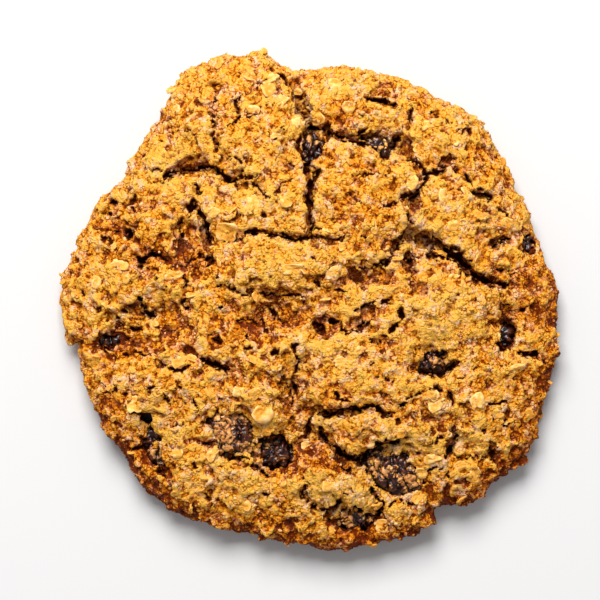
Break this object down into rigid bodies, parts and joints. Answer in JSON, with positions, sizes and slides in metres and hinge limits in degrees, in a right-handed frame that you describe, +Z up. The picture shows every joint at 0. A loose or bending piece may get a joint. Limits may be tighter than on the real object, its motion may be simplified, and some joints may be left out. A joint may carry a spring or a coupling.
{
  "type": "oatmeal raisin cookie",
  "caption": "Thick round drop cookie with a lumpy, cracked oat crust, raisins seated in its cracks and hollows, and a flat underside.",
  "frame": {"origin": "under the middle of the cookie's plan, on the surface that it rests on", "axes": "+Z up through the thickness, from the flat underside to the crown; +Y towards the lobed edge with the pointed swell, +X towards the deep split in the right of the crust"},
  "size_m": [0.087, 0.0884, 0.0148],
  "materials": {
    "baked_dough": "matt, rough golden-brown baked oat crumb with paler oat flakes, darker in the cracks and round the rim",
    "raisin_skin": "wrinkled, half-glossy dark purple-brown dried fruit skin"
  },
  "bodies": {
    "root": {"dough": "baked_dough", "raisin_left_large": "raisin_skin", "raisin_deep": "raisin_skin", "raisin_right_large": "raisin_skin", "raisin_bottom": "raisin_skin", "raisin_inner": "raisin_skin", "raisin_right_pocket": "raisin_skin", "raisin_upper_pocket": "raisin_skin", "raisin_split": "raisin_skin", "raisin_left_pit": "raisin_skin", "raisin_lower_left": "raisin_skin", "raisin_right_edge": "raisin_skin"}
  },
  "joints": []
}
